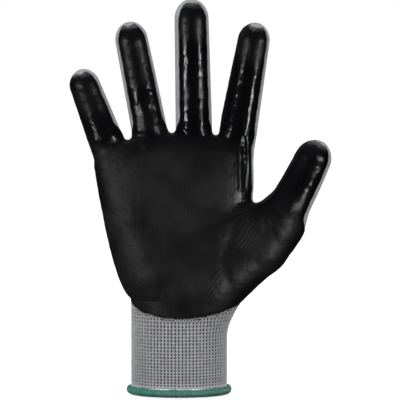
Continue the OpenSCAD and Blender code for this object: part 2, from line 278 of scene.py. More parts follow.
def hand(p):
    """Distance from the outside of the knit, in millimetres, for an array of points."""
    x, y, z = p[:, 0], p[:, 1], p[:, 2]
    body = melt(palm(p), thenar(p), BALL_MELT + HEEL_MELT * smooth(118, 85, z))
    crotch = CROTCH_MELT - CROTCH_NARROWS * smooth(8.5, 4, np.abs(y))
    for digit in digits[:4]:
        body = melt(body, digit.distance(p), crotch)
    front = smooth(2, -6, y)
    hollow = PALM_HOLLOW * mound(x, z, (-4, 118), (21, 24))
    heel = -HEEL_RISE * mound(x, z, (-24, 92), (13, 22))
    return body + front * (hollow + heel + creases(p))


# ---- The knitted liner ---------------------------------------------------------------------------
# A 13-gauge polyester yarn, knitted in one run with no seams. It is divided into pieces at the folds of the
# digits.
GRID = 1.0                                  # spacing of the grid that the skin is read from
KNIT_WALL = 1.1
COURSE = 1.2                                # height of one stitch
HAND_WALES, DIGIT_WALES = 100, 32           # columns of stitches round the palm and round a digit
CUFF_WALES = 74                             # columns of stitches round the cuff
KNIT_LOW = 56.5                             # the hand's close knit gives way to the cuff's open knit here


def gradient(field, p, step=0.05):
    """Direction in which a distance grows fastest, at each point."""
    axes = np.eye(3) * step
    rise = np.stack([field(p + axis) - field(p - axis) for axis in axes], axis=1)
    return rise / (np.linalg.norm(rise, axis=1, keepdims=True) + 1e-12)


def settle(field, p, rounds=3):
    """Moves points along the gradient onto the surface where the distance is 0."""
    for _ in range(rounds):
        p = p - field(p)[:, None] * gradient(field, p)
    return p


def skin(field, low, high, spacing):
    """A closed surface where field is 0, with one point in each grid cell that it passes through."""
    counts = np.ceil((high - low) / spacing).astype(int) + 1
    axes = [low[k] + spacing * np.arange(counts[k]) for k in range(3)]
    corners = np.stack(np.meshgrid(*axes, indexing="ij"), axis=-1)
    inside = np.concatenate([field(slab.reshape(-1, 3)) for slab in corners]).reshape(counts) < 0
    lower = tuple(slice(0, -1) for _ in range(3))
    total = sum(inside[i:counts[0] - 1 + i, j:counts[1] - 1 + j, k:counts[2] - 1 + k].astype(int)
                for i in (0, 1) for j in (0, 1) for k in (0, 1))
    cells = (total > 0) & (total < 8)
    number = np.full(cells.shape, -1)
    number[cells] = np.arange(cells.sum())
    points = corners[lower][cells] + spacing / 2
    faces = []
    for k in range(3):
        u, v = (k + 1) % 3, (k + 2) % 3
        along = np.moveaxis(inside, k, 0)
        leaves = np.moveaxis(along[:-1] & ~along[1:], 0, k)
        enters = np.moveaxis(~along[:-1] & along[1:], 0, k)
        for crossing, order in ((leaves, 1), (enters, -1)):
            place = np.argwhere(crossing)
            place = place[(place[:, u] > 0) & (place[:, v] > 0)]
            place = place[(place[:, u] < cells.shape[u]) & (place[:, v] < cells.shape[v])]
            step_u, step_v = np.eye(3, dtype=int)[u], np.eye(3, dtype=int)[v]
            ring = [place - step_u - step_v, place - step_v, place, place - step_u][::order]
            quad = np.stack([number[tuple(cell.T)] for cell in ring], axis=1)
            faces.append(quad[:, [0, 1, 2]])
            faces.append(quad[:, [0, 2, 3]])
    return points, np.concatenate(faces)


def relax(field, points, faces, rounds=4):
    """Evens out the triangles, keeping the points on the surface."""
    pairs = np.concatenate([faces[:, [0, 1]], faces[:, [1, 2]], faces[:, [2, 0]]])
    pairs = np.concatenate([pairs, pairs[:, ::-1]])
    many = np.bincount(pairs[:, 0], minlength=len(points))[:, None]
    for _ in range(rounds):
        near = points[pairs[:, 1]]
        around = np.stack([np.bincount(pairs[:, 0], near[:, k], len(points)) for k in range(3)], 1)
        points = settle(field, points + 0.6 * (around / many - points), 1)
    return settle(field, points, 2)


def cut(points, faces, level, snap=0.06):
    """Divides the triangles along the line where level is 0, and returns points, faces and levels."""
    level = np.where(np.abs(level) < snap, 0, level)
    sides = np.sort(faces[:, [0, 1, 1, 2, 2, 0]].reshape(-1, 2), axis=1)
    sides, back = np.unique(sides, axis=0, return_inverse=True)
    a, b = sides[:, 0], sides[:, 1]
    crossed = level[a] * level[b] < 0
    share = (level[a] / np.where(crossed, level[a] - level[b], 1))[crossed][:, None]
    number = np.full(len(sides), -1)
    number[crossed] = len(points) + np.arange(crossed.sum())
    middle = number[back.reshape(-1)].reshape(-1, 3)
    count = (middle >= 0).sum(1)
    points = np.concatenate([points, points[a[crossed]] * (1 - share) + points[b[crossed]] * share])
    level = np.concatenate([level, np.zeros(crossed.sum())])
    turns = np.arange(3)
    one, two = count == 1, count == 2
    order = (np.argmax(middle[one] >= 0, axis=1)[:, None] + turns) % 3
    f, m = np.take_along_axis(faces[one], order, 1), np.take_along_axis(middle[one], order, 1)[:, 0]
    pieces = [faces[count == 0], np.stack([f[:, 0], m, f[:, 2]], 1), np.stack([m, f[:, 1], f[:, 2]], 1)]
    order = (np.argmin(middle[two] >= 0, axis=1)[:, None] + turns) % 3
    f, m = np.take_along_axis(faces[two], order, 1), np.take_along_axis(middle[two], order, 1)
    pieces += [np.stack([f[:, 0], f[:, 1], m[:, 1]], 1), np.stack([f[:, 0], m[:, 1], m[:, 2]], 1),
               np.stack([m[:, 2], m[:, 1], f[:, 2]], 1)]
    return points, np.concatenate(pieces), level


def ripple(p, size):
    """An even, wandering wave of about the given wavelength, between -1 and 1."""
    x, y, z = (p * (2 * math.pi / size)).T
    first = np.sin(0.83 * x + 0.41 * z + 0.37 * y + 1.3 * np.sin(0.52 * z - 0.61 * x))
    second = np.sin(0.57 * z - 0.79 * x + 0.68 * y + 1.1 * np.sin(0.47 * x + 0.73 * z + 2.0))
    return (first + second + np.sin(1.07 * z + 0.29 * x - 0.66 * y + 0.9 * first)) / 3


def girth_shares(half_width, half_depth, power):
    """Directions round a section, and how far round its girth each one lies, as a share of the whole."""
    angles = np.linspace(-math.pi, math.pi, 721)
    rounding = (np.abs(np.cos(angles)) ** power + np.abs(np.sin(angles)) ** power) ** (-1 / power)
    outline = np.stack([half_width * np.cos(angles), half_depth * np.sin(angles)], 1) * rounding[:, None]
    shares = np.concatenate([[0], np.cumsum(np.linalg.norm(np.diff(outline, axis=0), axis=1))])
    return angles, shares / shares[-1]


PALM_GIRTH = girth_shares(PALM_HALF, KNUCKLES, 2.3)
CUFF_GIRTH = girth_shares(*CUFF_HALF, 2.0)


def knit_place(digit, p):
    """Wale and course of the stitch at each point: round and up the palm, or round and along a digit."""
    if digit is None:
        a, b, shift, _ = palm_section(p[:, 2])
        angle = np.arctan2(-p[:, 1] / b, (p[:, 0] - shift) / a)
        upright = np.stack([HAND_WALES * np.interp(angle, *PALM_GIRTH), p[:, 2] / COURSE], axis=1)
        on_ball = thenar(p) < palm(p)
        return np.where(on_ball[:, None], knit_place(thumb, p), upright)
    s, u, v = digit.local(p)
    return np.stack([DIGIT_WALES * np.arctan2(u, v) / (2 * math.pi), s / COURSE], axis=1)


INDEX_SIDE, LITTLE_SIDE = -4.5, 1.5         # how far behind mid thickness the edge lies at the palm's sides
DIP_RISE, DIP_SAG = 2.0, 7                  # its height over the cuff at mid wrist, and its rise sideways
DIP_LITTLE = 3                              # it lies this much higher on the little finger's side
TOOTH = 0.5                                 # it runs down this far along each column of the cuff's knit
TIP_FADE = 0.32                             # it comes on this much more gently at the ends of the digits
WAVER, FINE_WAVER = 0.35, 0.2               # the wet edge wavered this much in long waves and in short ones
KNIT_UNDER = 0.4                            # the close knit runs on under the coating and this far past it


def coat_level(p):
    """How far inside the coating's edge a point lies, in millimetres; below 0 it is bare knit."""
    x, y, z = p[:, 0], p[:, 1], p[:, 2]
    side = INDEX_SIDE * smooth(10, 40, x) * smooth(104, 126, z) + LITTLE_SIDE * smooth(0, -40, x)
    dip = CUFF_TOP + DIP_RISE + DIP_SAG * ((x - 1.3) / 34) ** 2 + DIP_LITTLE * smooth(-22, -33, x)
    round_cuff = np.interp(np.arctan2(-y / CUFF_HALF[1], x / CUFF_HALF[0]), *CUFF_GIRTH)
    teeth = TOOTH * np.abs(np.sin(math.pi * CUFF_WALES * round_cuff))
    level = np.minimum(side - y, z - dip + teeth)
    for digit in digits:
        s, u, v = digit.local(p)
        near = smooth(4, 1.5, digit.distance(p)) * smooth(-3, 8, s)
        limit = np.where(u > 0, digit.right_edge, digit.left_edge)
        round_it = digit.half_width(s) * np.radians(limit - np.degrees(np.abs(np.arctan2(u, v))))
        up_to_tip = TIP_FADE * (digit.length - s - digit.tip_bare)
        level = level * (1 - near) + near * np.minimum(round_it, up_to_tip)
    return level + WAVER * ripple(p, 11) + FINE_WAVER * ripple(p, 4.3)


def knit_level(p):
    """Above 0 where the close knit lies: above the cuff, and under all of the coating."""
    return np.maximum(p[:, 2] - KNIT_LOW, coat_level(p) + KNIT_UNDER)


def fold_level(digit, part, p):
    """Distance past a digit's fold plane, for the points that belong to the digit."""
    place, axis = hinges[f"{digit.name}_{digit.folds[part]}"]
    mine = (digit.distance(p) < 2.5) & (digit.local(p)[0] > -6)
    return np.where(mine, (p - place) @ np.cross(FORWARD, axis), -1.0)


def shell(name, faces, outer, inner, normals, places, girth, **fields):
    """A closed piece: an outer skin, the same faces turned inwards, and a rim along every open edge."""
    used, small = np.unique(faces, return_inverse=True)
    small = small.reshape(faces.shape)
    n = len(used)
    sides = np.concatenate([small[:, [0, 1]], small[:, [1, 2]], small[:, [2, 0]]])
    keys, back = sides[:, 0] * n + sides[:, 1], sides[:, 1] * n + sides[:, 0]
    rim = sides[~np.isin(keys, back)]
    a, b = rim[:, 0], rim[:, 1]
    every = np.concatenate([small, small[:, ::-1] + n,
                            np.stack([b, a, a + n], 1), np.stack([b, a + n, b + n], 1)])
    points = np.concatenate([outer[used], inner[used]])
    mesh = bpy.data.meshes.new(name)
    mesh.from_pydata(points * MM, [], every)
    mesh.polygons.foreach_set("use_smooth", np.ones(len(every), bool))
    mesh.normals_split_custom_set_from_vertices(np.concatenate([normals[used], -normals[used]]))
    corner = np.concatenate([places[used], places[used]])[every]
    for turn in {girth, DIGIT_WALES}:
        behind = corner[:, :, 0].max(1, keepdims=True) - corner[:, :, 0]
        corner[:, :, 0] += np.where(np.abs(behind - turn) < turn / 4, turn, 0)
    torn = np.ptp(corner, axis=1).max(1) > 5            # where two fields of stitches meet
    corner[torn] = corner[torn][:, :1]
    mesh.uv_layers.new(name="knit").data.foreach_set("uv", corner.astype(np.float32).ravel())
    rest = mesh.attributes.new("rest", "FLOAT_VECTOR", "POINT")
    rest.data.foreach_set("vector", np.concatenate([outer[used]] * 2).astype(np.float32).ravel())
    for key, values in fields.items():
        layer = mesh.attributes.new(key, "FLOAT", "POINT")
        layer.data.foreach_set("value", np.concatenate([values[used]] * 2).astype(np.float32))
    piece = bpy.data.objects.new(name, mesh)
    bpy.context.scene.collection.objects.link(piece)
    return piece


def follow(piece, digit):
    """Lets the palm's piece ride on the hand. A digit's piece only has its placement baked into its mesh.
    """
    if digit is None:
        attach(piece, "hand")
        return
    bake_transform(piece)


def add(tree, kind, inputs=None, **settings):
    """Adds a node, with its settings, and with its inputs set or linked by name or number.

    A Mix node's colours are its inputs 6 and 7, and a Map Range node turns 1 and 2 into 3 and 4.
    """
    node = tree.nodes.new(kind)
    for key, value in settings.items():
        setattr(node, key, value)
    for key, value in (inputs or {}).items():
        if isinstance(value, bpy.types.NodeSocket):
            tree.links.new(value, node.inputs[key])
        else:
            node.inputs[key].default_value = value
    return node


def colour(code):
    """An sRGB hex value as linear red, green, blue and 1."""
    parts = [int(code[k:k + 2], 16) / 255 for k in (1, 3, 5)]
    return [c / 12.92 if c <= 0.04045 else ((c + 0.055) / 1.055) ** 2.4 for c in parts] + [1.0]


def new_material(name):
    material = bpy.data.materials.new(name)
    material.use_nodes = True
    material.node_tree.nodes.clear()
    return material, material.node_tree


def stitches(tree):
    """Height of the knit's loops, from 0 between them to 1, from the wale and course in the UV map."""
    place = add(tree, "ShaderNodeSeparateXYZ", {0: add(tree, "ShaderNodeUVMap", uv_map="knit").outputs[0]})
    # each wale has two rounded legs, one on each side of its middle
    wale = add(tree, "ShaderNodeMath", {0: place.outputs[0]}, operation="FRACT").outputs[0]
    off = add(tree, "ShaderNodeMath", {0: wale, 1: 0.5}, operation="SUBTRACT").outputs[0]
    off = add(tree, "ShaderNodeMath", {0: off}, operation="ABSOLUTE").outputs[0]
    leg = add(tree, "ShaderNodeMath", {0: off, 1: 2 * math.pi}, operation="MULTIPLY").outputs[0]
    leg = add(tree, "ShaderNodeMath", {0: leg}, operation="SINE").outputs[0]
    leg = add(tree, "ShaderNodeMath", {0: leg, 1: 0.6}, operation="POWER").outputs[0]
    # the legs slant down to its middle, and each loop dips a little where the next one comes through it
    slant = add(tree, "ShaderNodeMath", {0: off, 1: -1.3, 2: place.outputs[1]},
                operation="MULTIPLY_ADD").outputs[0]
    loop = add(tree, "ShaderNodeMath", {0: slant}, operation="FRACT").outputs[0]
    loop = add(tree, "ShaderNodeMath", {0: loop, 1: math.pi}, operation="MULTIPLY").outputs[0]
    loop = add(tree, "ShaderNodeMath", {0: loop}, operation="SINE").outputs[0]
    loop = add(tree, "ShaderNodeMath", {0: loop, 1: 0.55, 2: 0.45}, operation="MULTIPLY_ADD").outputs[0]
    return add(tree, "ShaderNodeMath", {0: leg, 1: loop}, operation="MULTIPLY").outputs[0]


def polyester_knit():
    """Textured polyester yarn, knitted: matt, with a soft sheen, and painted shade in the gaps between the
    loops.
    """
    material, tree = new_material("polyester_knit")
    height = stitches(tree)
    rest = add(tree, "ShaderNodeAttribute", attribute_name="rest").outputs["Vector"]
    mottle = add(tree, "ShaderNodeTexNoise", {"Vector": rest, "Scale": 0.09, "Detail": 3.0}).outputs[0]
    yarn = add(tree, "ShaderNodeMix", {"Factor": mottle, 6: colour("#a2a3a6"), 7: colour("#b4b5b8")},
               data_type="RGBA")
    # painted shade: the yarn's colour darkens to grey in the gaps between the loops, where shade falls
    deep = add(tree, "ShaderNodeMix", {"Factor": height, 6: colour("#6f7073"), 7: yarn.outputs[2]},
               data_type="RGBA")
    fuzz = add(tree, "ShaderNodeTexNoise", {"Vector": rest, "Scale": 3.0, "Detail": 2.0}).outputs[0]
    loops = add(tree, "ShaderNodeBump", {"Height": height, "Strength": 0.8, "Distance": 0.35 * MM})
    fibres = add(tree, "ShaderNodeBump", {"Height": fuzz, "Strength": 0.5, "Distance": 0.12 * MM,
                                          "Normal": loops.outputs[0]})
    surface = add(tree, "ShaderNodeBsdfPrincipled", {
        "Base Color": deep.outputs[2], "Roughness": 0.82, "Normal": fibres.outputs[0], "IOR": 1.5,
        "Sheen Weight": 0.25, "Sheen Roughness": 0.5})
    add(tree, "ShaderNodeOutputMaterial", {"Surface": surface.outputs[0]})
    return material


ROOM = 6                                    # room round the hand in the grid
little_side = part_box("liner_little_tip")[0][0] / MM
thumb_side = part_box("liner_thumb_tip")[1][0] / MM
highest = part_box("liner_middle_tip")[1][2] / MM
hand_low = np.array([little_side - ROOM, -34, CUFF_TOP - 4])
hand_high = np.array([thumb_side + ROOM, 30, highest + ROOM])
points, faces = skin(hand, hand_low, hand_high, GRID)
points = relax(hand, settle(hand, points), faces)
points, faces, level = cut(points, faces, points[:, 2] - CUFF_TOP)
faces = faces[level[faces].mean(1) > 0]
for digit in digits:
    for part in digit.folds:
        points, faces, level = cut(points, faces, fold_level(digit, part, points))
for field in (knit_level, coat_level):
    points, faces, level = cut(points, faces, field(points))
knitted = knit_level(points)[faces].mean(1) > 0
coated = coat_level(points)[faces].mean(1) > 0
normals = gradient(hand, points)
middles = points[faces].mean(1)
regions = {(None, "palm"): np.ones(len(faces), bool)}
for digit in digits:
    earlier = (None, "palm")
    for part in digit.folds:
        past = fold_level(digit, part, middles) > 0
        regions[digit, part] = past
        regions[earlier] = regions[earlier] & ~past
        earlier = (digit, part)


def skin_piece(digit, part, label, material, faces, outer, inner, normals, **fields):
    """Makes one piece of the knit or of its film, puts it in place, and returns it with its place's name.
    """
    name = part if digit is None else f"{digit.name}_{part}"
    girth = HAND_WALES if digit is None else DIGIT_WALES
    places = knit_place(digit, points)
    piece = shell(f"{name}_{label}", faces, outer, inner, normals, places, girth, **fields)
    piece.data.materials.append(material)
    follow(piece, digit)
    return piece, name


knit = polyester_knit()
knit_inside = points - KNIT_WALL * normals
for (digit, part), mine in regions.items():
    piece, name = skin_piece(digit, part, "knit", knit, faces[mine & knitted], points, knit_inside, normals)
    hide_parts(f"liner_{name}")

# ---- The dipped coating --------------------------------------------------------------------------
# The gloved form is dipped palm down in liquid nitrile, which wets the palm side, runs a little way round
# each digit and dries to a thin, glossy black film. It thins out to nothing at its edge.
FILM, FILM_EDGE = 0.42, 0.02                # thickness of the film, and what is left of it at its edge
FILM_RUNS = 0.09                            # how much it thickens and thins where it ran
FILM_LIFT = 0.01                            # its inner side clears the knit by this much
# how far up each digit the film shines, and how matt it is past that
GLOSSY_LENGTHS = {"little": 9, "ring": 22, "middle": 50, "index": 36, "thumb": 50}
DIGIT_MATT = 0.5


def film(p):
    """Thickness of the coating: thin at its edge, and slightly uneven where it ran while wet."""
    depth = smooth(0, 1.7, coat_level(p))
    return FILM_EDGE + FILM * depth + FILM_RUNS * depth * (ripple(p, 8.5) + 0.5 * ripple(p, 3.6))


def coat(p):
    """Distance from the outside of the film."""
    return hand(p) - film(p)


def dried_matt(p):
    """1 where the film sank into the knit and dried matt, on the flat of the palm; 0 where it shines."""
    x, z = p[:, 0], p[:, 2]
    s, u, _ = thumb.local(p)
    on_thumb = smooth(4, -1, thumb.distance(p)) * smooth(-6, 6, s) * smooth(-8, 2, u + 0.4 * s)
    index_side = smooth(28, 42, x) * smooth(108, 124, z)
    matt = smooth(168, 150, z) * (1 - index_side) * (1 - on_thumb)
    for digit in digits:
        glossy = GLOSSY_LENGTHS[digit.name]
        end = smooth(glossy, glossy + 14, digit.arc(p)[0]) * smooth(4, 1.5, digit.distance(p))
        matt = np.maximum(matt, DIGIT_MATT * end)
    return matt


def black_nitrile():
    """Nitrile rubber film: black, glossy and wavy from the dip, with the knit showing faintly through.

    Its patches are about 22 mm wide, its runs 3.5 mm and its pebbles 0.9 mm.
    """
    material, tree = new_material("black_nitrile")
    rest = add(tree, "ShaderNodeAttribute", attribute_name="rest").outputs["Vector"]
    inside = add(tree, "ShaderNodeAttribute", attribute_name="film").outputs["Fac"]
    matt = add(tree, "ShaderNodeAttribute", attribute_name="matt").outputs["Fac"]
    height = stitches(tree)
    patches = add(tree, "ShaderNodeTexNoise", {"Vector": rest, "Scale": 0.045, "Detail": 1.0}).outputs[0]
    uneven = add(tree, "ShaderNodeMapRange", {
        "Value": patches, 1: 0.42, 2: 0.66, 3: 0.15, 4: 1.0}).outputs[0]
    shown = add(tree, "ShaderNodeMapRange", {"Value": matt, 3: 0.4, 4: 0.3}).outputs[0]
    shown = add(tree, "ShaderNodeMath", {0: uneven, 1: shown}, operation="MULTIPLY").outputs[0]
    printed = add(tree, "ShaderNodeMapRange", {"Value": matt, 3: 0.1, 4: 0.45}).outputs[0]
    printed = add(tree, "ShaderNodeMath", {0: printed, 1: uneven}, operation="MULTIPLY").outputs[0]
    ridge = add(tree, "ShaderNodeMath", {0: height, 1: 2.0}, operation="POWER").outputs[0]
    printed = add(tree, "ShaderNodeMath", {0: printed, 1: ridge}, operation="MULTIPLY").outputs[0]
    black = add(tree, "ShaderNodeMix", {"Factor": printed, 6: colour("#08080a"), 7: colour("#404142")},
                data_type="RGBA").outputs[2]
    grain = add(tree, "ShaderNodeTexNoise", {
        "Vector": rest, "Scale": 1.1, "Detail": 2.5, "Roughness": 0.55}).outputs[0]
    runs = add(tree, "ShaderNodeTexNoise", {"Vector": rest, "Scale": 0.28, "Detail": 1.5}).outputs[0]
    loops = add(tree, "ShaderNodeBump", {"Height": height, "Strength": shown, "Distance": 0.16 * MM})
    pebbles = add(tree, "ShaderNodeBump", {"Height": grain, "Strength": 0.18, "Distance": 0.14 * MM,
                                           "Normal": loops.outputs[0]})
    waves = add(tree, "ShaderNodeBump", {"Height": runs, "Strength": 0.15, "Distance": 0.5 * MM,
                                         "Normal": pebbles.outputs[0]})
    thin = add(tree, "ShaderNodeMath", {0: grain, 1: 1.6, 2: inside}, operation="MULTIPLY_ADD").outputs[0]
    cover = add(tree, "ShaderNodeMapRange", {"Value": thin, 1: 0.7, 2: 1.7}).outputs[0]
    tint = add(tree, "ShaderNodeMix", {"Factor": cover, 6: colour("#5a5b5e"), 7: black}, data_type="RGBA")
    rough = add(tree, "ShaderNodeMapRange", {"Value": matt, 3: 0.15, 4: 0.5}).outputs[0]
    surface = add(tree, "ShaderNodeBsdfPrincipled", {
        "Base Color": tint.outputs[2], "Roughness": rough, "Normal": waves.outputs[0], "IOR": 1.52,
        "Specular IOR Level": 0.035})
    add(tree, "ShaderNodeOutputMaterial", {"Surface": surface.outputs[0]})
    return material


nitrile = black_nitrile()
coat_points = settle(coat, points + film(points)[:, None] * normals, 2)
coat_normals = gradient(coat, coat_points)
coat_inside = points + FILM_LIFT * normals
edge_distance = coat_level(points)
matt = dried_matt(points)
for (digit, part), mine in regions.items():
    piece, name = skin_piece(digit, part, "coating", nitrile, faces[mine & coated], coat_points,
                             coat_inside, coat_normals, film=edge_distance, matt=matt)
    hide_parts(f"coating_{name}")

# ---- The cuff ------------------------------------------------------------------------------------
# The same machine knits the cuff in a looser, stretchy stitch, so its columns stand apart and the courses
# between them leave rows of small holes. The courses are drawn closer together towards the hem.
CUFF_LOW = 6.0                              # the lowest course, in the hem
COURSE_LOW, COURSE_HIGH = 1.85, 2.45        # height of a stitch at the hem and at the hand
CUFF_YARN = 0.31                            # radius of the yarn
STITCH_WIDTH, STITCH_HEIGHT = 2.3, 2.1      # the stitch that the others are stretched from
KNIT_SEED = 11


def new_tree(name, sizes):
    """A geometry tree with a named input for its guide, for each size and for its seed."""
    tree = bpy.data.node_groups.new(name, "GeometryNodeTree")
    tree.interface.new_socket("Guide", in_out="INPUT", socket_type="NodeSocketGeometry")
    tree.interface.new_socket("Geometry", in_out="OUTPUT", socket_type="NodeSocketGeometry")
    for label, value in sizes.items():
        kind = "NodeSocketInt" if isinstance(value, int) else "NodeSocketFloat"
        tree.interface.new_socket(label, in_out="INPUT", socket_type=kind)
    return tree, add(tree, "NodeGroupInput").outputs


def grow(name, tree, guide, sizes):
    """Runs a tree over a guide mesh, and returns a piece with the plain mesh that comes out."""
    holder = bpy.data.objects.new(f"{name}_guide", guide)
    bpy.context.scene.collection.objects.link(holder)
    modifier = holder.modifiers.new("grow", "NODES")
    modifier.node_group = tree
    for item in tree.interface.items_tree:
        if item.in_out == "INPUT" and item.name in sizes:
            modifier[item.identifier] = sizes[item.name]
    grown = holder.evaluated_get(bpy.context.evaluated_depsgraph_get())
    piece = bpy.data.objects.new(name, bpy.data.meshes.new_from_object(grown))
    piece.data.name = name
    bpy.data.objects.remove(holder)
    bpy.context.scene.collection.objects.link(piece)
    return piece


def guide_mesh(name, places, edges=(), **fields):
    """Loose points in metres, or lines, with a number or a vector at each point for every named field."""
    mesh = bpy.data.meshes.new(name)
    mesh.from_pydata(places * MM, list(edges), [])
    for key, values in fields.items():
        vector = values.ndim == 2
        layer = mesh.attributes.new(key, "FLOAT_VECTOR" if vector else "FLOAT", "POINT")
        layer.data.foreach_set("vector" if vector else "value", values.astype(np.float32).ravel())
    return mesh


def place_each(tree, points, shape, seed, jitter):
    """Puts a shape at each point, its X outwards and its Z up, slightly turned, with a shade of its own."""
    outward, upward, stretch = (
        add(tree, "GeometryNodeInputNamedAttribute", {"Name": name}, data_type="FLOAT_VECTOR").outputs[0]
        for name in ("outward", "upward", "stretch"))
    turned = add(tree, "FunctionNodeAxesToRotation", {0: outward, 1: upward},
                 primary_axis="X", secondary_axis="Z")
    sway = add(tree, "FunctionNodeRandomValue", {0: (-jitter,) * 3, 1: (jitter,) * 3, "Seed": seed},
               data_type="FLOAT_VECTOR")
    sway = add(tree, "FunctionNodeEulerToRotation", {0: sway.outputs[0]})
    turned = add(tree, "FunctionNodeRotateRotation", {0: turned.outputs[0], 1: sway.outputs[0]},
                 rotation_space="LOCAL")
    placed = add(tree, "GeometryNodeInstanceOnPoints", {
        "Points": points, "Instance": shape, "Rotation": turned.outputs[0], "Scale": stretch})
    shade = add(tree, "FunctionNodeRandomValue", {"Seed": seed}, data_type="FLOAT")
    return add(tree, "GeometryNodeStoreNamedAttribute", {
        "Geometry": placed.outputs[0], "Name": "shade", "Value": shade.outputs[1]},
        data_type="FLOAT", domain="INSTANCE").outputs[0]


def finish_tree(tree, shape, material):
    """Ends a tree with one smooth mesh in one material."""
    real = add(tree, "GeometryNodeRealizeInstances", {0: shape})
    smoothed = add(tree, "GeometryNodeSetShadeSmooth", {0: real.outputs[0]})
    dressed = add(tree, "GeometryNodeSetMaterial", {0: smoothed.outputs[0], "Material": material})
    add(tree, "NodeGroupOutput", {0: dressed.outputs[0]})


def yarn_tube(tree, unit_size, radius, start, start_handle, end_handle, end, sides=5, steps=3):
    """A length of yarn along one curve, its points given in yarn radii and shares of a stitch."""
    ends = [add(tree, "ShaderNodeVectorMath", {0: point, 1: unit_size}, operation="MULTIPLY").outputs[0]
            for point in (start, start_handle, end_handle, end)]
    path = add(tree, "GeometryNodeCurvePrimitiveBezierSegment", {
        "Resolution": steps, "Start": ends[0], "Start Handle": ends[1], "End Handle": ends[2],
        "End": ends[3]})
    round_it = add(tree, "GeometryNodeCurvePrimitiveCircle", {"Resolution": sides, "Radius": radius})
    return add(tree, "GeometryNodeCurveToMesh", {
        "Curve": path.outputs[0], "Profile Curve": round_it.outputs[0], "Fill Caps": True}).outputs[0]


def stitch_tree(sizes, material):
    """Loops of yarn on guide points: two legs that lean apart, and the yarn running on to the next loop."""
    tree, size = new_tree("cuff_stitches", sizes)
    unit_size = add(tree, "ShaderNodeCombineXYZ", {
        0: size["Yarn Radius"], 1: size["Stitch Width"], 2: size["Stitch Height"]}).outputs[0]
    shape = add(tree, "GeometryNodeJoinGeometry")
    for side in (-1, 1):
        leg = yarn_tube(tree, unit_size, size["Yarn Radius"],
                        (-2.3, 0.05 * side, -0.62), (0.5, 0.09 * side, -0.28),
                        (0.5, 0.23 * side, 0.25), (-2.3, 0.26 * side, 0.60))
        tree.links.new(leg, shape.inputs[0])
    course = yarn_tube(tree, unit_size, size["Yarn Radius"],
                       (-2.3, 0.25, 0.40), (-1.8, 0.40, 0.62),
                       (-1.8, 0.60, 0.62), (-2.3, 0.75, 0.40), steps=2)
    tree.links.new(course, shape.inputs[0])
    placed = place_each(tree, size["Guide"], shape.outputs[0], size["Seed"], 0.05)
    finish_tree(tree, placed, material)
    return tree


def yarn_fibres(tree, fineness, spread, dark, light):
    """Colour and bump of a yarn's fibres, so many to a millimetre, with a shade for each stitch."""
    shade = add(tree, "ShaderNodeAttribute", attribute_name="shade").outputs["Fac"]
    place = add(tree, "ShaderNodeTexCoord").outputs["Object"]
    fuzz = add(tree, "ShaderNodeTexNoise", {
        "Vector": place, "Scale": fineness / MM, "Detail": 2.0}).outputs[0]
    tone = add(tree, "ShaderNodeMath", {0: shade, 1: spread, 2: fuzz}, operation="MULTIPLY_ADD").outputs[0]
    yarn = add(tree, "ShaderNodeMix", {"Factor": tone, 6: colour(dark), 7: colour(light)}, data_type="RGBA")
    fibres = add(tree, "ShaderNodeBump", {"Height": fuzz, "Strength": 0.6, "Distance": 0.12 * MM})
    return yarn.outputs[2], fibres.outputs[0]


def polyester_yarn():
    """Textured polyester yarn in single loops: matt and pale, each loop a little lighter or darker."""
    material, tree = new_material("polyester_yarn")
    yarn, fibres = yarn_fibres(tree, 3.0, 0.6, "#88898c", "#adaeb0")
    pale = add(tree, "ShaderNodeAttribute", attribute_name="pale").outputs["Fac"]
    yarn = add(tree, "ShaderNodeMix", {"Factor": pale, 6: yarn, 7: colour("#c8c9cc")}, data_type="RGBA")
    surface = add(tree, "ShaderNodeBsdfPrincipled", {
        "Base Color": yarn.outputs[2], "Roughness": 0.8, "Normal": fibres, "IOR": 1.5,
        "Sheen Weight": 0.2, "Sheen Roughness": 0.5})
    add(tree, "ShaderNodeOutputMaterial", {"Surface": surface.outputs[0]})
    return material


def settle_level(ring):
    """Moves points onto the outside of the knit without changing their height."""
    for _ in range(3):
        way = gradient(hand, ring)
        way[:, 2] = 0
        ring = ring - hand(ring)[:, None] * way / (way ** 2).sum(1, keepdims=True)
    return ring


def cuff_ring(count, height, out=0.0):
    """Points at even distances round the cuff at a height, this far out from the outside of the knit."""
    angle = np.interp(np.arange(count) / count, CUFF_GIRTH[1], CUFF_GIRTH[0])
    ring = np.stack([CUFF_HALF[0] * np.cos(angle), -CUFF_HALF[1] * np.sin(angle),
                     np.full(count, height)], 1)
    ring = settle(hand, ring)
    ring[:, 2] = height
    ring = settle_level(ring)
    outward = gradient(hand, ring)
    outward[:, 2] = 0
    outward /= np.linalg.norm(outward, axis=1, keepdims=True)
    return ring + out * outward, outward


course_heights = [CUFF_LOW]
while course_heights[-1] < KNIT_LOW + 1:
    share = (course_heights[-1] - CUFF_LOW) / (KNIT_LOW - CUFF_LOW)
    course_heights.append(course_heights[-1] + COURSE_LOW + (COURSE_HIGH - COURSE_LOW) * share)
rows = np.stack([cuff_ring(CUFF_WALES, height)[0] for height in course_heights])
across = np.linalg.norm(np.roll(rows, -1, axis=1) - np.roll(rows, 1, axis=1), axis=2) / 2
upward = np.gradient(rows, axis=0)
tall = np.linalg.norm(upward, axis=2)
stretch = np.stack([np.ones_like(tall), across / STITCH_WIDTH, tall / STITCH_HEIGHT], axis=2)
loops = rows.reshape(-1, 3)
bare = coat_level(loops) < -0.9             # loops clear of the coating's edge
pale = smooth(CUFF_LOW + 1.5 * COURSE_LOW, CUFF_LOW, loops[:, 2])      # the first courses are paler
guide = guide_mesh("cuff_guide", loops[bare], outward=gradient(hand, loops)[bare], pale=pale[bare],
                   upward=upward.reshape(-1, 3)[bare], stretch=stretch.reshape(-1, 3)[bare])
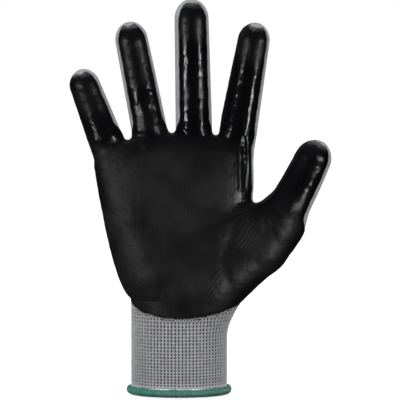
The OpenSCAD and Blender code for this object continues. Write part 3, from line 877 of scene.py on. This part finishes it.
sizes = {"Yarn Radius": CUFF_YARN * MM, "Stitch Width": STITCH_WIDTH * MM,
         "Stitch Height": STITCH_HEIGHT * MM, "Seed": KNIT_SEED}
cuff = grow("cuff_knit", stitch_tree(sizes, polyester_yarn()), guide, sizes)
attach(cuff, "hand")
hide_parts("liner_cuff")

# ---- The elastic yarns ---------------------------------------------------------------------------
# Rubber yarn, covered in polyester, is laid in behind every course of the cuff. It closes the cuff round
# the wrist, and its dark grey is painted shade, so that the holes of the knit show dark.
ELASTIC_DEPTH = 1.5                         # its middle lies this far behind the skin of the knit
ELASTIC_HALF_THICK = 0.32
ELASTIC_HEIGHT_SHARE = 0.46                 # half its height, as a share of a course at the hand
RING_STEPS = 120                            # points round each ring


def hoop_tree(name, sizes, material):
    """Flat-sided hoops along closed guide lines, upright all the way round."""
    tree, size = new_tree(name, sizes)
    lines = add(tree, "GeometryNodeMeshToCurve", {0: size["Guide"]})
    upright = add(tree, "GeometryNodeSetCurveNormal", {0: lines.outputs[0]}, mode="Z_UP")
    section = add(tree, "GeometryNodeCurvePrimitiveCircle", {"Resolution": 8, "Radius": 1.0})
    wide = add(tree, "ShaderNodeCombineXYZ", {0: size["Half Thickness"], 1: size["Half Height"], 2: 1.0})
    section = add(tree, "GeometryNodeTransform", {0: section.outputs[0], "Scale": wide.outputs[0]})
    hoop = add(tree, "GeometryNodeCurveToMesh", {0: upright.outputs[0], 1: section.outputs[0]})
    finish_tree(tree, hoop.outputs[0], material)
    return tree


def ring_lines(rings):
    """Points of all rings in one list, and the edges that close each of them."""
    steps = len(rings[0])
    first = np.arange(len(rings) * steps)
    after = np.where(first % steps == steps - 1, first - steps + 1, first + 1)
    return np.concatenate(rings), np.stack([first, after], axis=1).tolist()


def painted_shade_rubber():
    """Rubber yarn wound with polyester, its dark grey painted shade for the holes of the knit: dull, with
    fine slanted windings.
    """
    material, tree = new_material("covered_rubber_yarn")
    place = add(tree, "ShaderNodeTexCoord").outputs["Object"]
    wound = add(tree, "ShaderNodeTexWave", {
        "Vector": place, "Scale": 0.55 / MM, "Distortion": 1.5, "Detail": 1.0}, bands_direction="DIAGONAL")
    # painted shade: near-black greys that stand in for the shade seen through the cuff's holes
    tone = add(tree, "ShaderNodeMix", {
        "Factor": wound.outputs[1], 6: colour("#1c1d1f"), 7: colour("#2e2f31")}, data_type="RGBA")
    bump = add(tree, "ShaderNodeBump", {"Height": wound.outputs[1], "Strength": 0.5, "Distance": 0.1 * MM})
    surface = add(tree, "ShaderNodeBsdfPrincipled", {
        "Base Color": tone.outputs[2], "Roughness": 0.85, "Normal": bump.outputs[0], "IOR": 1.5})
    add(tree, "ShaderNodeOutputMaterial", {"Surface": surface.outputs[0]})
    return material


low_rows = [(a + b) / 2 for a, b in zip(course_heights, course_heights[1:]) if b < KNIT_LOW]
places, edges = ring_lines([cuff_ring(RING_STEPS, height, -ELASTIC_DEPTH)[0] for height in low_rows])
sizes = {"Half Thickness": ELASTIC_HALF_THICK * MM, "Half Height": ELASTIC_HEIGHT_SHARE * COURSE_HIGH * MM}
elastic = grow("elastic_yarns", hoop_tree("elastic_hoops", sizes, painted_shade_rubber()),
               guide_mesh("elastic_guide", places, edges), sizes)
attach(elastic, "hand")
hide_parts("cuff_elastic")

# ---- The overlocked hem --------------------------------------------------------------------------
# Green polyester thread is overlocked round the raw edge of the cuff: slanting wraps lie side by side all
# the way round and swell into a soft bead.
HEM_MIDDLE = 3.1                            # height of the bead's middle
HEM_HALF_THICK, HEM_HALF_HEIGHT = 2.3, 2.25 # reach of the thread's middle line, out and up
HEM_THREAD = 0.42                           # radius of the thread
HEM_OUT = 0.35                              # the bead's middle lies this far out from the skin of the cuff
WRAPS = 216                                 # turns of the thread round the edge
WRAP_SLANT = 17.0                           # degrees
HEM_SEED = 5


def wrap_tree(sizes, material):
    """Oval loops of thread on guide points, each leaning over the next."""
    tree, size = new_tree("hem_wraps", sizes)
    oval = add(tree, "GeometryNodeCurvePrimitiveCircle", {"Resolution": 14, "Radius": 1.0})
    reach = add(tree, "ShaderNodeCombineXYZ", {0: size["Half Thickness"], 1: size["Half Height"], 2: 1.0})
    oval = add(tree, "GeometryNodeTransform", {0: oval.outputs[0], "Scale": reach.outputs[0]})
    upright = (math.radians(90) + math.radians(WRAP_SLANT), 0, 0)
    oval = add(tree, "GeometryNodeTransform", {0: oval.outputs[0], "Rotation": upright})
    section = add(tree, "GeometryNodeCurvePrimitiveCircle", {
        "Resolution": 5, "Radius": size["Thread Radius"]})
    thread = add(tree, "GeometryNodeCurveToMesh", {0: oval.outputs[0], 1: section.outputs[0]})
    placed = place_each(tree, size["Guide"], thread.outputs[0], size["Seed"], 0.06)
    finish_tree(tree, placed, material)
    return tree


def green_thread():
    """Twisted polyester overlock thread, dyed green: a faint sheen, and lighter and darker wraps."""
    material, tree = new_material("green_overlock_thread")
    dye, fibres = yarn_fibres(tree, 2.4, 0.7, "#175a4b", "#35806d")
    surface = add(tree, "ShaderNodeBsdfPrincipled", {
        "Base Color": dye, "Roughness": 0.6, "Normal": fibres, "IOR": 1.5,
        "Specular IOR Level": 0.25, "Sheen Weight": 0.08, "Sheen Roughness": 0.4})
    add(tree, "ShaderNodeOutputMaterial", {"Surface": surface.outputs[0]})
    return material


thread_material = green_thread()
wrap_places, wrap_out = cuff_ring(WRAPS, HEM_MIDDLE, HEM_OUT)
turn_share = np.arange(WRAPS) / WRAPS * 2 * math.pi
swell = 0.05 * np.sin(7 * turn_share) + 0.04 * np.sin(17 * turn_share + 1.0)     # uneven tension
wrap_places[:, 2] += HEM_HALF_HEIGHT * swell
wrap_stretch = np.stack([1 + swell, np.ones(WRAPS), 1 + swell], axis=1)
guide = guide_mesh("hem_guide", wrap_places, outward=wrap_out,
                   upward=np.tile([0.0, 0.0, 1.0], (WRAPS, 1)), stretch=wrap_stretch)
sizes = {"Half Thickness": HEM_HALF_THICK * MM, "Half Height": HEM_HALF_HEIGHT * MM,
         "Thread Radius": HEM_THREAD * MM, "Seed": HEM_SEED}
hem = grow("hem_wraps", wrap_tree(sizes, thread_material), guide, sizes)
places, edges = ring_lines([cuff_ring(RING_STEPS, HEM_MIDDLE, HEM_OUT)[0]])
sizes = {"Half Thickness": HEM_HALF_THICK * MM, "Half Height": HEM_HALF_HEIGHT * MM}
core = grow("hem_core", hoop_tree("hem_core_hoop", sizes, thread_material),
            guide_mesh("hem_core_guide", places, edges), sizes)
for piece in (hem, core):
    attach(piece, "hand")
    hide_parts("hem_overlock")

# ---- The studio ----------------------------------------------------------------------------------
# Narrow lamps stand to the left, right and low in front of the glove for the shine on its wet-looking film,
# and broad ones, which show in no reflection, light the rest. The ground is plain and pale, and the
# background is white to the camera only.
CAMERA_AWAY, CAMERA_RISE = 1.8, 3.8         # metres, and degrees above the glove's middle
VIEW_WIDTH = 0.252                          # metres across the picture, at the glove
SENSOR_WIDTH = 36                           # millimetres
AIM = np.array([13.2, 0.0, 123.0]) * MM
GROUND_HALF, GROUND_LEVEL = 6.0, -0.0005


def lamp(name, place, size, watts, shines=True, lights=True):
    """A soft lamp that points at the glove and shines in gloss, lights what is matt, or does both."""
    data = bpy.data.lights.new(name, "AREA")
    data.shape, data.size, data.size_y, data.energy = "RECTANGLE", size[0], size[1], watts
    light = bpy.data.objects.new(name, data)
    light.location = place
    light.visible_glossy = shines
    light.visible_diffuse = lights
    direction = Vector(AIM) - Vector(place)
    light.rotation_euler = direction.to_track_quat("-Z", "Y").to_euler()
    bpy.context.scene.collection.objects.link(light)


# place, width and height in metres, and watts
lamp("left_strip", (-0.29, -0.30, 0.120), (0.012, 0.07), 2.9, lights=False)
lamp("right_strip", (0.33, -0.30, 0.112), (0.014, 0.07), 3.2, lights=False)
lamp("low_strip", (0.19, -0.18, 0.02), (0.012, 0.03), 1.5, lights=False)
lamp("left_fill", (-1.0, -0.9, 0.5), (0.8, 0.8), 10.0, shines=False)
lamp("right_fill", (0.9, -1.0, 0.5), (0.8, 0.8), 4.2, shines=False)
lamp("back_fill", (0.2, 1.2, 0.6), (0.9, 0.9), 6.0, shines=False)
lamp("top_fill", (0.0, -0.15, 1.1), (0.9, 0.7), 4.0, shines=False)

# The sky brightens from the horizon upwards. The gloss mirrors one that is darker at the horizon than
# the one that lights what is matt, so that the film keeps its black edges.
world = bpy.data.worlds.new("studio")
bpy.context.scene.world = world
world.use_nodes = True
tree = world.node_tree
tree.nodes.clear()
ray = add(tree, "ShaderNodeLightPath")
heading = add(tree, "ShaderNodeTexCoord").outputs["Generated"]
up = add(tree, "ShaderNodeSeparateXYZ", {0: heading}).outputs[2]
mirrored_sky = add(tree, "ShaderNodeMapRange", {"Value": up, 1: 0.0, 2: 0.8, 3: 0.02, 4: 0.55}).outputs[0]
lighting_sky = add(tree, "ShaderNodeMapRange", {"Value": up, 1: 0.0, 2: 0.8, 3: 0.12, 4: 0.7}).outputs[0]
seen = add(tree, "ShaderNodeBackground", {"Color": (1, 1, 1, 1), "Strength": 1.0})
mirrored = add(tree, "ShaderNodeBackground", {"Color": (1, 1, 1, 1), "Strength": mirrored_sky})
lighting = add(tree, "ShaderNodeBackground", {"Color": (1, 1, 1, 1), "Strength": lighting_sky})
unseen = add(tree, "ShaderNodeMixShader", {
    0: ray.outputs["Is Glossy Ray"], 1: lighting.outputs[0], 2: mirrored.outputs[0]})
either = add(tree, "ShaderNodeMixShader", {
    0: ray.outputs["Is Camera Ray"], 1: unseen.outputs[0], 2: seen.outputs[0]})
add(tree, "ShaderNodeOutputWorld", {"Surface": either.outputs[0]})

ground_mesh = bpy.data.meshes.new("ground")
corners = [(x * GROUND_HALF, y * GROUND_HALF, GROUND_LEVEL)
           for x, y in ((-1, -1), (1, -1), (1, 1), (-1, 1))]
ground_mesh.from_pydata(corners, [], [(0, 1, 2, 3)])
ground = bpy.data.objects.new("ground", ground_mesh)
bpy.context.scene.collection.objects.link(ground)

# To the camera the ground is nearly white and keeps the glove's shadow. The gloss mirrors it dark.
material, tree = new_material("pale_ground")
ray = add(tree, "ShaderNodeLightPath")
surface = add(tree, "ShaderNodeBsdfDiffuse", {"Color": colour("#9a9a9a")})
glow = add(tree, "ShaderNodeEmission", {"Color": (1, 1, 1, 1), "Strength": 0.86})
seen = add(tree, "ShaderNodeAddShader", {0: surface.outputs[0], 1: glow.outputs[0]})
either = add(tree, "ShaderNodeMixShader", {
    0: ray.outputs["Is Camera Ray"], 1: surface.outputs[0], 2: seen.outputs[0]})
mirrored = add(tree, "ShaderNodeEmission", {"Color": (1, 1, 1, 1), "Strength": 0.05})
either = add(tree, "ShaderNodeMixShader", {
    0: ray.outputs["Is Glossy Ray"], 1: either.outputs[0], 2: mirrored.outputs[0]})
add(tree, "ShaderNodeOutputMaterial", {"Surface": either.outputs[0]})
ground_mesh.materials.append(material)

camera = bpy.data.objects.new("camera", bpy.data.cameras.new("camera"))
rise = math.radians(CAMERA_RISE)
camera.location = AIM + CAMERA_AWAY * np.array([0, -math.cos(rise), math.sin(rise)])
camera.rotation_euler = (math.radians(90) - rise, 0, 0)
camera.data.sensor_width = SENSOR_WIDTH
camera.data.lens = SENSOR_WIDTH * CAMERA_AWAY / VIEW_WIDTH
bpy.context.scene.collection.objects.link(camera)
bpy.context.scene.camera = camera
bpy.context.scene.view_settings.view_transform = "Standard"
